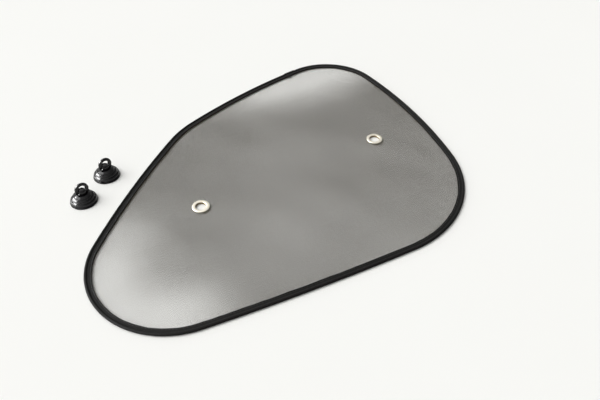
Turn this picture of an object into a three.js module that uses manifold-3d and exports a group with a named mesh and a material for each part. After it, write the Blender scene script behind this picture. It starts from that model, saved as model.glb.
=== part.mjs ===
// Car side window sunshade: a see-through mesh cloth on a sprung wire hoop, with a sewn tape round
// its edge, two eyelets, and two suction cups with loop clips lying beside it. Millimetres, +Z up.
// The shade lies flat. X runs along its straight lower edge, Y up its height on the window.
// The origin is under the middle of the shade, on the surface that it lies on.
import * as THREE from 'three';
import { mergeGeometries, mergeVertices } from 'three/addons/utils/BufferGeometryUtils.js';
import Module from 'manifold-3d';

const wasm = await Module();
wasm.setup();

// Outline, outside the edge tape: four corner arcs joined by bowed sides
const LENGTH = 440;
const HEIGHT = 357;
const NOSE_R = 89; // lower front corner, against the front end
const NOSE_UP = 95; // its centre above the lower edge
const HEEL_R = 129; // lower rear corner, against the lower edge
const HEEL_IN = 136; // its centre from the rear end
const CROWN_R = 71; // upper rear corner, against the top
const CROWN_IN = 77; // its centre from the rear end
const BROW_R = 130; // soft upper front corner
const BROW_BACK = 231; // its centre from the front end
const BROW_DOWN = 172; // its centre below the top
const LOWER_BOW_R = 2850;
const REAR_BOW_R = 560;
const TOP_BOW_R = 770;
const FRONT_BOW_R = 1150;
const JOINT_PAST_CROWN = 12; // where the tape and the wire close, along the top side
const RIM_STEPS = 74;

// Sprung wire hoop and its crimped sleeve
const WIRE_R = 0.5;
const WIRE_GAP = 1; // between the two wire ends, inside the sleeve
const SLEEVE_CLEAR = 0.15;
const SLEEVE_WALL = 0.25;
const SLEEVE_LENGTH = 14;

// Edge tape, folded round the wire and over the edge of the cloth
const CASING_CLEAR = 0.3;
const TAPE_T = 0.45;
const TAPE_WIDTH = 7.5; // from the outer edge to the sewn inner edge
const TAPE_BUTT = 0.4; // between the two ends of the tape
const LAP_LENGTH = 15; // the tail of the tape, lapped over the joint
const LAP_T = 0.4;
const LAP_CLEAR = 0.2;
const LAP_NICK = 1.3; // how far the tail stands past the inner edge

// Mesh cloth
const CLOTH_T = 0.4;
const CLOTH_CLEAR = 0.2;
const TUCK_CLEAR = 0.3; // from the wire casing to the cloth's cut edge
const RIB_PITCH = 36;
const RIB_WIDTH = 3;
const RIB_H = 0.35;
const GAP_SIZE = 4; // open eyes of the weave
const GAP_PITCH_Y = 33;
const GAP_MARGIN = 8;
const CLOTH_ROW = 30; // rows of the cloth's surface
const CLOTH_FLAT = 14; // flat strip of cloth beside the tape
const SWELL_H = 4.2; // how far the cloth stands up between its rests
const SWELL_RUN = 75;
const WAVE_ALONG = 260;
const WAVE_ACROSS = 190;
const WAVE_SHARE = 0.45;

// Eyelets
const EYE_FRONT_IN = 136.8; // from the front end
const EYE_REAR_IN = 74.8; // from the rear end
const EYE_FRONT_Y = -22.6; // from the middle of the height
const EYE_REAR_Y = -6.1;
const EYE_HOLE_R = 5.6;
const EYE_WALL = 0.45;
const EYE_FLANGE_R = 9.6;
const EYE_FLANGE_H = 0.85;
const EYE_CLEAR = 0.15;
const CURL_REACH = 1.3; // the crimped end, past the washer's hole
const CURL_T = 0.5;
const WASHER_R = 9.2;
const WASHER_T = 0.45;
const EYE_REST_R = 30; // cloth lies flat round an eyelet
const EYE_RUN = 45;

// Suction cups
const CUP_R = 15;
const CUP_LAND = 1.4; // flat lip that meets the glass
const CUP_EDGE_T = 0.7;
const CUP_HOLLOW = 3.4;
const BELL_H = 10.2;
const SHOULDER_R = 5;
const BELL_SWELL = 1.6;
const RIDGE_H = 0.45;
const RIDGE_WIDTH = 1.3;
const RIDGE_COUNT = 3;
const NECK_R = 2.1;
const NECK_FLARE = 0.9; // wider where it leaves the bell
const NECK_ROOT = 1.2; // set into the bell's top
const KNOB_R = 3.1;
const KNOB_H = 1.6;

// Loop clips
const CLIP_WIDTH = 14.9;
const CLIP_BAND = 3.4; // each side of the loop
const CLIP_TOP_BAND = 2.7; // over the loop
const CLIP_DEPTH = 2.2;
const CLIP_ARCH_TOP = 24; // above the glass side of the cup, before it leans
const CLIP_BAR_H = 3.6;
const CLIP_LEG = 0.8; // free ends of the legs, past the bar
const CLIP_SEAT = 1.5; // of the bar, under the knob
const CLIP_BOSS_WALL = 1;
const CLIP_EDGE = 0.4;
const CLIP_CLEAR = 0.3;
const BAR_ABOVE_BELL = 1.4;

// Where the two cups lie, from the front end and from the middle of the height, with the turn of
// their clips and how far the soft necks let the clips lean
const CUP_FRONT = { end: 27.5, y: 46, turn: 11, lean: 8 };
const CUP_BACK = { end: 60, y: 76, turn: 14, lean: 10 };

// Derived sizes
const CASING_R = WIRE_R + SLEEVE_CLEAR + SLEEVE_WALL + CASING_CLEAR;
const BEAD_R = CASING_R + TAPE_T;
const SLOT_HALF = CLOTH_T / 2 + CLOTH_CLEAR;
const LEG_TOP = SLOT_HALF + TAPE_T;
const LEG_REACH = TAPE_WIDTH - BEAD_R;
const CLOTH_INSET = BEAD_R + CASING_R + TUCK_CLEAR;

const smooth = (t) => {
  const k = Math.min(Math.max(t, 0), 1);
  return k * k * (3 - 2 * k);
};

// Points of an arc, from angle a to angle b
const arc = (cx, cy, r, a, b, n) =>
  Array.from({ length: n + 1 }, (_, i) => {
    const t = a + ((b - a) * i) / n;
    return new THREE.Vector2(cx + r * Math.cos(t), cy + r * Math.sin(t));
  });

// Centre of the circle of radius bow that holds two circles, touching both from outside
const bowCentre = (p, q, bow) => {
  const d = p.c.distanceTo(q.c);
  const rp = bow - p.r;
  const rq = bow - q.r;
  const along = (rp * rp - rq * rq + d * d) / (2 * d);
  const side = Math.sqrt(rp * rp - along * along);
  const u = q.c.clone().sub(p.c).divideScalar(d);
  return p.c.clone().addScaledVector(u, along).add(new THREE.Vector2(-u.y, u.x).multiplyScalar(side));
};

// The outline as arcs in counterclockwise order, from the joint right round to the joint
const outlineArcs = (() => {
  const corner = (x, y, r) => ({ c: new THREE.Vector2(x, y), r });
  const crown = corner(LENGTH / 2 - CROWN_IN, HEIGHT / 2 - CROWN_R, CROWN_R);
  const brow = corner(BROW_BACK - LENGTH / 2, HEIGHT / 2 - BROW_DOWN, BROW_R);
  const nose = corner(NOSE_R - LENGTH / 2, NOSE_UP - HEIGHT / 2, NOSE_R);
  const heel = corner(LENGTH / 2 - HEEL_IN, HEEL_R - HEIGHT / 2, HEEL_R);
  const corners = [crown, brow, nose, heel];
  const bows = [TOP_BOW_R, FRONT_BOW_R, LOWER_BOW_R, REAR_BOW_R];
  const sides = corners.map((p, i) => {
    const q = corners[(i + 1) % 4];
    const c = bowCentre(p, q, bows[i]);
    return { c, r: bows[i], a: p.c.clone().sub(c).angle(), b: q.c.clone().sub(c).angle() };
  });
  const after = (a, b) => (b < a - 1e-9 ? after(a, b + 2 * Math.PI) : b);
  const chain = [];
  sides.forEach((s, i) => {
    const next = sides[(i + 1) % 4];
    const q = corners[(i + 1) % 4];
    chain.push({ c: s.c, r: s.r, a: s.a, b: after(s.a, s.b) });
    chain.push({ c: q.c, r: q.r, a: s.b, b: after(s.b, next.a) });
  });
  const first = chain.shift();
  const cut = first.a + JOINT_PAST_CROWN / first.r;
  return [{ ...first, a: cut }, ...chain, { ...first, b: cut }];
})();

// A line that follows the outline at a given inset, open by a gap at the joint
class RimCurve extends THREE.Curve {
  constructor(inset, gap = 0, from = 0, to = 1) {
    super();
    this.arcs = outlineArcs.map((s) => ({ ...s, r: s.r - inset, l: (s.r - inset) * (s.b - s.a) }));
    this.total = this.arcs.reduce((sum, s) => sum + s.l, 0);
    this.start = from * this.total + gap / 2;
    this.end = to * this.total - gap / 2;
  }

  getPoint(t, target = new THREE.Vector3()) {
    let d = this.start + (this.end - this.start) * t;
    d = ((d % this.total) + this.total) % this.total;
    let k = 0;
    while (k < this.arcs.length - 1 && d > this.arcs[k].l) d -= this.arcs[k++].l;
    const s = this.arcs[k];
    const angle = s.a + d / s.r;
    return target.set(s.c.x + s.r * Math.cos(angle), s.c.y + s.r * Math.sin(angle), 0);
  }
}

// How far a point lies inside the outline
const edgeDistance = (x, y) => {
  let least = Infinity;
  for (const s of outlineArcs) {
    const dx = x - s.c.x;
    const dy = y - s.c.y;
    const turn = (Math.atan2(dy, dx) - s.a) / (2 * Math.PI);
    if ((turn - Math.floor(turn)) * 2 * Math.PI > s.b - s.a) continue;
    least = Math.min(least, s.r - Math.hypot(dx, dy));
  }
  return least === Infinity ? 0 : least;
};

const eyes = [
  { name: 'front', x: EYE_FRONT_IN - LENGTH / 2, y: EYE_FRONT_Y },
  { name: 'rear', x: LENGTH / 2 - EYE_REAR_IN, y: EYE_REAR_Y },
];

// Height of the cloth over the plane of the hoop
const swell = (x, y) => {
  let rise = smooth((edgeDistance(x, y) - TAPE_WIDTH - CLOTH_FLAT) / SWELL_RUN);
  for (const e of eyes) rise *= smooth((Math.hypot(x - e.x, y - e.y) - EYE_REST_R) / EYE_RUN);
  const wave = Math.sin((2 * Math.PI * (x + y)) / WAVE_ALONG) * Math.cos((2 * Math.PI * (y - x / 2)) / WAVE_ACROSS);
  return SWELL_H * rise * (1 - WAVE_SHARE + WAVE_SHARE * wave);
};

const toSolid = (geometry) => {
  const plain = geometry.clone();
  plain.deleteAttribute('normal');
  plain.deleteAttribute('uv');
  const merged = mergeVertices(plain, 1e-4);
  return new wasm.Manifold(
    new wasm.Mesh({
      numProp: 3,
      vertProperties: new Float32Array(merged.attributes.position.array),
      triVerts: new Uint32Array(merged.index.array),
    }),
  );
};

const toGeometry = (solid) => {
  const { vertProperties, triVerts, numProp } = solid.getMesh();
  const xyz = [];
  for (let i = 0; i < vertProperties.length; i += numProp) xyz.push(...vertProperties.slice(i, i + 3));
  const geometry = new THREE.BufferGeometry();
  geometry.setAttribute('position', new THREE.Float32BufferAttribute(xyz, 3));
  geometry.setIndex(Array.from(triVerts));
  const faceted = geometry.toNonIndexed();
  faceted.computeVertexNormals();
  return faceted;
};

// A ring turned about Z from a closed profile of [radius, height] pairs
const turned = (profile, sides) => {
  const points = profile.map(([r, z]) => new THREE.Vector2(r, z));
  return new THREE.LatheGeometry(points, sides).rotateX(Math.PI / 2);
};

const mesh = (name, geometry, color, roughness, metalness = 0) => {
  const m = new THREE.Mesh(geometry, new THREE.MeshStandardMaterial({ color, roughness, metalness }));
  m.name = name;
  return m;
};

// Half of a folded section round a bead of radius r: the leg, then the bead out to its equator.
// Each point is (height, inset from the wire); the leg lies at the given height and reach.
const halfFold = (r, leg, reach, steps) => {
  const bead = arc(0, 0, r, Math.PI / 2, Math.PI, steps).map((p) => new THREE.Vector2(p.y, p.x));
  return [new THREE.Vector2(leg, reach), new THREE.Vector2(leg, Math.sqrt(r * r - leg * leg)), ...bead];
};
const mirrored = (points) => points.map((p) => new THREE.Vector2(-p.x, p.y)).reverse();

const alongRim = (section, curve, steps) =>
  new THREE.ExtrudeGeometry(new THREE.Shape(section), { steps, extrudePath: curve, bevelEnabled: false });

// Edge tape: a U round the wire, with its two legs over and under the cloth
const tapeOuter = halfFold(BEAD_R, LEG_TOP, LEG_REACH, 3);
const tapeInner = halfFold(CASING_R, SLOT_HALF, LEG_REACH, 2);
const tapeSection = [
  ...tapeOuter,
  ...mirrored(tapeOuter).slice(1),
  ...tapeInner.map((p) => new THREE.Vector2(-p.x, p.y)),
  ...mirrored(tapeInner.map((p) => new THREE.Vector2(-p.x, p.y))).slice(1),
];
const tapeGeometry = alongRim(tapeSection, new RimCurve(BEAD_R, TAPE_BUTT), RIM_STEPS);

// The tape's tail, over the upper side of the joint
const half = LAP_LENGTH / 2 / new RimCurve(BEAD_R).total;
const lapReach = LEG_REACH + LAP_NICK;
const lapIn = halfFold(BEAD_R + LAP_CLEAR, LEG_TOP + LAP_CLEAR, lapReach, 3);
const lapOut = halfFold(BEAD_R + LAP_CLEAR + LAP_T, LEG_TOP + LAP_CLEAR + LAP_T, lapReach, 3);
const lapSection = [...lapOut, ...lapIn.slice().reverse()].map((p) => new THREE.Vector2(-p.x, p.y));
const lapGeometry = alongRim(lapSection, new RimCurve(BEAD_R, 0, 1 - half, 1 + half), 2);

// Wire hoop, open at the joint, and the sleeve that holds its two ends
const wireCurve = new RimCurve(BEAD_R, WIRE_GAP);
const wireGeometry = alongRim(arc(0, 0, WIRE_R, 0, 2 * Math.PI, 6).slice(0, -1), wireCurve, RIM_STEPS);
const sleeveIn = WIRE_R + SLEEVE_CLEAR;
const sleeveOut = sleeveIn + SLEEVE_WALL;
const sleeveGeometry = turned(
  [
    [sleeveIn, -SLEEVE_LENGTH / 2],
    [sleeveOut, -SLEEVE_LENGTH / 2],
    [sleeveOut, SLEEVE_LENGTH / 2],
    [sleeveIn, SLEEVE_LENGTH / 2],
    [sleeveIn, -SLEEVE_LENGTH / 2],
  ],
  10,
);
const jointAt = new RimCurve(BEAD_R).getPoint(0);
const jointAway = new RimCurve(BEAD_R).getTangent(0.001);

// Mesh cloth: a thin wall with raised ribs and open eyes, cut to the outline and swelling gently
const ribCount = Math.floor(LENGTH / RIB_PITCH / 2);
const lines = [-LENGTH / 2];
const crests = new Set();
for (let k = -ribCount; k <= ribCount; k++) {
  crests.add(lines.length + 1);
  lines.push(k * RIB_PITCH - RIB_WIDTH / 2, k * RIB_PITCH, k * RIB_PITCH + RIB_WIDTH / 2);
}
lines.push(LENGTH / 2);
const columns = lines.length - 1;
const rows = Math.round(HEIGHT / CLOTH_ROW);
const wall = new THREE.BoxGeometry(LENGTH, HEIGHT, CLOTH_T, columns, rows, 1);
// Its underside takes the same diagonals as its upper side, so that it keeps its thickness
const under = wall.groups[5];
for (let i = under.start; i < under.start + under.count; i += 6) {
  const [a, b, d, , c] = wall.index.array.slice(i, i + 6);
  wall.index.array.set([a, b, c, a, c, d], i);
}
const spot = wall.attributes.position;
for (let i = 0; i < spot.count; i++) {
  const column = Math.round(((spot.getX(i) + LENGTH / 2) / LENGTH) * columns);
  const x = lines[column];
  const y = spot.getY(i);
  const inside = edgeDistance(x, y) - TAPE_WIDTH - CLOTH_FLAT;
  const rib = spot.getZ(i) > 0 && crests.has(column) ? RIB_H * smooth(inside / RIB_PITCH) : 0;
  const clearOfEyes = eyes.every((e) => Math.hypot(x - e.x, y - e.y) > EYE_REST_R);
  spot.setXYZ(i, x, y, spot.getZ(i) + swell(x, y) + (clearOfEyes ? rib : 0));
}
const tall = 40;
const rimShape = new THREE.Shape(
  new RimCurve(CLOTH_INSET).getSpacedPoints(RIM_STEPS).slice(0, -1).map((p) => new THREE.Vector2(p.x, p.y)),
);
const blank = new THREE.ExtrudeGeometry(rimShape, { depth: tall, bevelEnabled: false }).translate(0, 0, -tall / 2);
const openings = [];
for (let k = -ribCount - 1; k <= ribCount; k++) {
  for (let j = -Math.floor(HEIGHT / GAP_PITCH_Y / 2); j * GAP_PITCH_Y < HEIGHT / 2; j++) {
    const x = (k + 0.5) * RIB_PITCH;
    const y = j * GAP_PITCH_Y;
    if (edgeDistance(x, y) < TAPE_WIDTH + GAP_SIZE + GAP_MARGIN) continue;
    if (eyes.some((e) => Math.hypot(x - e.x, y - e.y) < EYE_FLANGE_R + GAP_SIZE + 2)) continue;
    openings.push(new THREE.BoxGeometry(GAP_SIZE, GAP_SIZE, tall).translate(x, y, 0));
  }
}
const barrelR = EYE_HOLE_R + EYE_WALL;
for (const e of eyes) {
  const round = new THREE.CylinderGeometry(barrelR + EYE_CLEAR, barrelR + EYE_CLEAR, tall, 20);
  openings.push(round.rotateX(Math.PI / 2).translate(e.x, e.y, 0));
}
const clothGeometry = toGeometry(
  toSolid(wall).intersect(toSolid(blank)).subtract(toSolid(mergeGeometries(openings))),
);

// Eyelet: a domed flange and barrel through the cloth, crimped over a washer behind it.
// Heights are from the middle of the cloth.
const flangeUnder = CLOTH_T / 2 + EYE_CLEAR;
const washerTop = -flangeUnder;
const curlTop = washerTop - WASHER_T - EYE_CLEAR;
const curlR = barrelR + EYE_CLEAR + CURL_REACH;
const domeTop = flangeUnder + EYE_FLANGE_H;
const eyeletProfile = [
  [EYE_HOLE_R, curlTop - CURL_T / 2],
  [EYE_HOLE_R + EYE_WALL, curlTop - CURL_T],
  [curlR - CURL_T / 2, curlTop - CURL_T],
  [curlR, curlTop - CURL_T / 2],
  [curlR - CURL_T / 4, curlTop],
  [barrelR, curlTop],
  [barrelR, flangeUnder],
  [EYE_FLANGE_R - EYE_WALL / 2, flangeUnder],
  [EYE_FLANGE_R, flangeUnder + EYE_FLANGE_H / 3],
  [EYE_FLANGE_R - EYE_WALL, flangeUnder + EYE_FLANGE_H * 0.8],
  [(EYE_FLANGE_R + EYE_HOLE_R) / 2, domeTop],
  [EYE_HOLE_R + EYE_WALL, flangeUnder + EYE_FLANGE_H * 0.9],
  [EYE_HOLE_R, flangeUnder + EYE_FLANGE_H * 0.5],
  [EYE_HOLE_R, curlTop - CURL_T / 2],
];
const washerIn = barrelR + EYE_CLEAR;
const washerProfile = [
  [washerIn, washerTop],
  [washerIn, washerTop - WASHER_T],
  [WASHER_R - WASHER_T / 2, washerTop - WASHER_T],
  [WASHER_R, washerTop - WASHER_T / 2],
  [WASHER_R - WASHER_T / 4, washerTop],
  [washerIn, washerTop],
];

// Suction cup: a hollow bell with ridges
const bellPoint = (f, out) => {
  const fall = new THREE.Vector2(SHOULDER_R - CUP_R, BELL_H - CUP_EDGE_T);
  const normal = new THREE.Vector2(fall.y, -fall.x).normalize();
  const lift = out + BELL_SWELL * Math.sin(Math.PI * f);
  return [CUP_R + fall.x * f + normal.x * lift, CUP_EDGE_T + fall.y * f + normal.y * lift];
};
const bellRun = Math.hypot(SHOULDER_R - CUP_R, BELL_H - CUP_EDGE_T);
const bell = [];
for (let k = 1; k <= RIDGE_COUNT; k++) {
  const f = k / (RIDGE_COUNT + 1.4);
  const w = RIDGE_WIDTH / bellRun / 2;
  bell.push(bellPoint(f - w, 0), bellPoint(f - w / 2, RIDGE_H), bellPoint(f + w / 2, RIDGE_H), bellPoint(f + w, 0));
}
const landIn = CUP_R - CUP_LAND;
const bellProfile = [
  [0, CUP_HOLLOW],
  [landIn * 0.3, CUP_HOLLOW * 0.95],
  [landIn * 0.65, CUP_HOLLOW * 0.7],
  [landIn * 0.9, CUP_HOLLOW * 0.25],
  [landIn, 0],
  [CUP_R, 0],
  [CUP_R, CUP_EDGE_T],
  ...bell,
  bellPoint(0.88, 0),
  [SHOULDER_R, BELL_H],
  [0, BELL_H],
];

// Its neck and knob, rooted in the bell
const barLow = BELL_H + BAR_ABOVE_BELL;
const barTop = barLow + CLIP_BAR_H;
const seatTop = barLow + CLIP_SEAT;
const knobLow = seatTop + CLIP_CLEAR;
const neckProfile = [
  [0, BELL_H - NECK_ROOT],
  [NECK_R + NECK_FLARE, BELL_H - NECK_ROOT],
  [NECK_R + NECK_FLARE, BELL_H + BAR_ABOVE_BELL * 0.2],
  [NECK_R, BELL_H + BAR_ABOVE_BELL * 0.8],
  [NECK_R, knobLow],
  [KNOB_R, knobLow + KNOB_H * 0.15],
  [KNOB_R, knobLow + KNOB_H * 0.6],
  [KNOB_R * 0.7, knobLow + KNOB_H],
  [0, knobLow + KNOB_H],
];

// Loop clip: an arch on a bar whose boss turns on the cup's neck, with two free leg ends
const archR = CLIP_WIDTH / 2;
const archIn = archR - CLIP_BAND;
const archZ = CLIP_ARCH_TOP - archR;
const loopZ = CLIP_ARCH_TOP - CLIP_TOP_BAND - archIn;
const endR = CLIP_BAND / 2;
const endZ = barLow - CLIP_LEG + endR;
const clipShape = new THREE.Shape([
  ...arc(0, archZ, archR, Math.PI, 0, 10),
  ...arc(archR - endR, endZ, endR, 0, -Math.PI, 3),
  new THREE.Vector2(archIn, barLow),
  new THREE.Vector2(-archIn, barLow),
  ...arc(-archR + endR, endZ, endR, 0, -Math.PI, 3),
]);
clipShape.holes.push(
  new THREE.Path([
    new THREE.Vector2(-archIn, barTop),
    new THREE.Vector2(archIn, barTop),
    ...arc(0, loopZ, archIn, 0, Math.PI, 8),
  ]),
);
const clipPlate = new THREE.ExtrudeGeometry(clipShape, {
  depth: CLIP_DEPTH - 2 * CLIP_EDGE,
  bevelEnabled: true,
  bevelThickness: CLIP_EDGE,
  bevelSize: CLIP_EDGE,
  bevelOffset: -CLIP_EDGE,
  bevelSegments: 1,
})
  .translate(0, 0, CLIP_EDGE - CLIP_DEPTH / 2)
  .rotateX(Math.PI / 2);
const upright = (r, low, top) =>
  toSolid(new THREE.CylinderGeometry(r, r, top - low, 20).rotateX(Math.PI / 2).translate(0, 0, (low + top) / 2));
const clipSolid = toSolid(clipPlate)
  .add(upright(KNOB_R + CLIP_CLEAR + CLIP_BOSS_WALL, barLow, barTop))
  .subtract(upright(NECK_R + CLIP_CLEAR, barLow - 1, barTop + 1))
  .subtract(upright(KNOB_R + CLIP_CLEAR, seatTop, barTop + 1));

// Neck, knob and clip lean together from the bell's top
const leaning = (solid, lean) =>
  solid.translate([0, 0, -BELL_H]).rotate([0, lean, 0]).translate([0, 0, BELL_H]);

// The shade, set down so that its tape rests on the surface with its box over the origin
const shade = new THREE.Group();
tapeGeometry.computeBoundingBox();
const middle = tapeGeometry.boundingBox.getCenter(new THREE.Vector3());
shade.position.set(-middle.x, -middle.y, -tapeGeometry.boundingBox.min.z);

const sleeve = mesh('hoop_sleeve', sleeveGeometry, 0xa8aaad, 0.35, 0.9);
sleeve.position.copy(jointAt);
sleeve.quaternion.setFromUnitVectors(new THREE.Vector3(0, 0, 1), jointAway);
shade.add(
  mesh('mesh_cloth', clothGeometry, 0x7d7d79, 0.85),
  mesh('edge_tape', tapeGeometry, 0x1c1b19, 0.8),
  mesh('tape_lap', lapGeometry, 0x201f1d, 0.8),
  mesh('wire_hoop', wireGeometry, 0x8f9296, 0.35, 0.9),
  sleeve,
);
for (const e of eyes) {
  const eyelet = mesh(`${e.name}_eyelet`, turned(eyeletProfile, 20), 0xe6dcc0, 0.3, 0.6);
  const washer = mesh(`${e.name}_eyelet_washer`, turned(washerProfile, 20), 0xddd2b4, 0.4, 0.6);
  eyelet.position.set(e.x, e.y, 0);
  washer.position.set(e.x, e.y, 0);
  shade.add(eyelet, washer);
}

const suctionCup = (name, place) => {
  const cup = toSolid(turned(bellProfile, 22)).add(leaning(toSolid(turned(neckProfile, 14)), place.lean));
  const group = new THREE.Group();
  group.position.set(place.end - LENGTH / 2, place.y, 0);
  group.rotation.z = THREE.MathUtils.degToRad(place.turn);
  group.add(
    mesh(`${name}_suction_cup`, toGeometry(cup), 0x17171a, 0.18),
    mesh(`${name}_loop_clip`, toGeometry(leaning(clipSolid, place.lean)), 0x121214, 0.3),
  );
  return group;
};

const sunshade = new THREE.Group();
sunshade.add(shade, suctionCup('front', CUP_FRONT), suctionCup('back', CUP_BACK));

export default sunshade;
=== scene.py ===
"""Looks for the car side window sunshade: net cloth in a sewn tape binding, eyelets and two suction cups.

Lengths are in millimetres in the row frame, except where a comment says metres.
"""

import math

import bmesh
import bpy
import numpy as np
from mathutils import Matrix, Vector
from mathutils.geometry import tessellate_polygon


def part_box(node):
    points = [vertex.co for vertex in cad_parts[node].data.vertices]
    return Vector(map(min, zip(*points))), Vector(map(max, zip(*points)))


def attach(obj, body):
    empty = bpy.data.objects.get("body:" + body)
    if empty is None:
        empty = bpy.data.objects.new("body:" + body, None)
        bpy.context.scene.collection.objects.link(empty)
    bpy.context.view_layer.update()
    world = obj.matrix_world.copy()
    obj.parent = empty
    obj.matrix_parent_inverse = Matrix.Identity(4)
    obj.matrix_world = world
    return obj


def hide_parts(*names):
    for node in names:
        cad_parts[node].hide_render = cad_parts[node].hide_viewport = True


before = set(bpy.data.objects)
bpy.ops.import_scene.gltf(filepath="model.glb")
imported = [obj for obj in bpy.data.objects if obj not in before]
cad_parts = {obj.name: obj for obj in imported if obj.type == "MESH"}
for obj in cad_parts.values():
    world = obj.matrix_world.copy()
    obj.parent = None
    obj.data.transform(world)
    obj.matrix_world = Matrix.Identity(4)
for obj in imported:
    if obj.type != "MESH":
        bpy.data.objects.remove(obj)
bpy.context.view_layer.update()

MM = 0.001

# Sizes of the outline, as the part's source has them
LENGTH, HEIGHT = 440, 357
NOSE_R, NOSE_UP = 89, 95
HEEL_R, HEEL_IN = 129, 136
CROWN_R, CROWN_IN = 71, 77
BROW_R, BROW_BACK, BROW_DOWN = 130, 231, 172
TOP_BOW_R, FRONT_BOW_R, LOWER_BOW_R, REAR_BOW_R = 770, 1150, 2850, 560
JOINT_PAST_CROWN = 12

# Sizes of the binding
BEAD_R = 1.65
CASING_R = 1.2
TAPE_WIDTH = 7.5
LEG_TOP = 0.85
LEG_LOW = 0.4
TAPE_BUTT = 0.4
LAP_LENGTH = 15
LAP_CLEAR = 0.2
LAP_T = 0.4
STITCH_INSET = 6.2
STITCH_PITCH = 3.1
STITCH_LENGTH = 2.5
THREAD_R = 0.17
TACK_R = 0.14
TACK_PITCH = 0.62
TAPE_STATIONS, LAP_STATIONS = 1180, 31
GROOVE_WIDTH = 0.5  # the sewn line pulls the tape in
NICK_OUT, NICK_FROM, NICK_RUN = 2.9, 2.4, 1.3  # the lap's tail that stands past the inner edge

# Sizes of the cloth
PLANE = 1.65  # height of the wire's middle over the floor
FLAT_BAND = 14  # the cloth lies flat this far from the binding
SWELL_H = 4.2
SWELL_RUN = 75
WAVE_ALONG, WAVE_ACROSS, WAVE_SHARE = 260, 190, 0.45
EYES = {"front": (-83.2, -22.6), "rear": (145.2, -6.1)}
EYE_REST_R, EYE_RUN = 30, 45
EYE_HOLE_R = 5.6
STILL_R, STILL_RUN = 12, 14  # no pucker or ripple at an eyelet
PUCKER_H, RIPPLE_H = 0.32, 0.28
YARN_PITCH = 1.04
# Width of a yarn where the net is darkest and where it is palest: painted shade and painted light made by
# yarn width
YARN_SHADED, YARN_LIT = 0.275, 0.085
# Where the net is palest, painted light by thinner yarns: x, y, stretch along X, stretch along Y, reach
LIT_NOSE, LIT_TOP = (-186, -112, 1, 1.3, 100), (118, 150, 1.7, 0.8, 88)
YARN_RISE = 0.82  # height of a yarn for its width
YARN_INSET = 3.4
YARN_LAY = 0.05
YARN_SECTION = ((-0.5, -0.35), (0.5, -0.35), (0.0, 0.65))  # across and up, in widths
YARN_SAMPLE = 0.25
SHORTEST_YARN = 40  # in samples
BARREL_CLEAR = 0.62
KNOT_EDGE, KNOT_NEAR, KNOT_WIDE = 28.0, 4.2, 8.5

# Where the two cups lie, with the turn and the lean of their clips in degrees
CUPS = {"front": (-192.5, 46, 11, 8), "back": (-160, 76, 14, 10)}


# Outline


def smooth(t):
    """0 up to t = 0, 1 from t = 1, and a smooth step between."""
    t = np.clip(t, 0, 1)
    return t * t * (3 - 2 * t)


def bow_centre(p, q, bow):
    """Centre of the circle of radius bow that holds and touches p and q, each (centre, radius)."""
    span = q[0] - p[0]
    d = span.length
    rp, rq = bow - p[1], bow - q[1]
    along = (rp * rp - rq * rq + d * d) / (2 * d)
    side = math.sqrt(rp * rp - along * along)
    u = span / d
    return p[0] + u * along + Vector((-u.y, u.x)) * side


def outline_arcs():
    """The outline from the joint round to it, as (centre x, centre y, radius, from angle, to angle)."""
    corners = [
        (Vector((LENGTH / 2 - CROWN_IN, HEIGHT / 2 - CROWN_R)), CROWN_R),
        (Vector((BROW_BACK - LENGTH / 2, HEIGHT / 2 - BROW_DOWN)), BROW_R),
        (Vector((NOSE_R - LENGTH / 2, NOSE_UP - HEIGHT / 2)), NOSE_R),
        (Vector((LENGTH / 2 - HEEL_IN, HEEL_R - HEIGHT / 2)), HEEL_R),
    ]

    def angle(v):
        return math.atan2(v.y, v.x) % (2 * math.pi)

    def after(a, b):
        while b < a - 1e-9:
            b += 2 * math.pi
        return b

    sides = []
    for i, bow in enumerate((TOP_BOW_R, FRONT_BOW_R, LOWER_BOW_R, REAR_BOW_R)):
        p, q = corners[i], corners[(i + 1) % 4]
        c = bow_centre(p, q, bow)
        sides.append((c, bow, angle(p[0] - c), angle(q[0] - c)))
    chain = []
    for i, (c, r, a, b) in enumerate(sides):
        q, q_r = corners[(i + 1) % 4]
        chain.append((c.x, c.y, r, a, after(a, b)))
        chain.append((q.x, q.y, q_r, b, after(b, sides[(i + 1) % 4][2])))
    x, y, r, a, b = chain.pop(0)
    cut = a + JOINT_PAST_CROWN / r
    return [(x, y, r, cut, b), *chain, (x, y, r, a, cut)]


ARCS = outline_arcs()


def rim_place(x, y):
    """(how far inside the outline, how far along it) for points given as arrays."""
    depth = np.full(np.shape(x), 1e9)
    along = np.zeros(np.shape(x))
    run = 0.0
    for cx, cy, r, a, b in ARCS:
        dx, dy = x - cx, y - cy
        turn = (np.arctan2(dy, dx) - a) % (2 * math.pi)
        d = r - np.hypot(dx, dy)
        mine = (turn <= b - a) & (d < depth)
        depth = np.where(mine, d, depth)
        along = np.where(mine, run + turn * r, along)
        run += r * (b - a)
    return np.where(depth > 1e8, 0, depth), along


def rim_stations(inset, count, gap=0.0, first=0.0, last=1.0):
    """(rows, total length) of count even steps along the outline at an inset.

    A row is (centre x, centre y, radius, cos, sin, distance).
    """
    lengths = [(r - inset) * (b - a) for _, _, r, a, b in ARCS]
    total = sum(lengths)
    rows = []
    for s in np.linspace(first * total + gap / 2, last * total - gap / 2, count):
        d, k = s % total, 0
        while k < len(ARCS) - 1 and d > lengths[k]:
            d -= lengths[k]
            k += 1
        cx, cy, r, a, _ = ARCS[k]
        turn = a + d / (r - inset)
        rows.append((cx, cy, r, math.cos(turn), math.sin(turn), s))
    return np.array(rows), total


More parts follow.
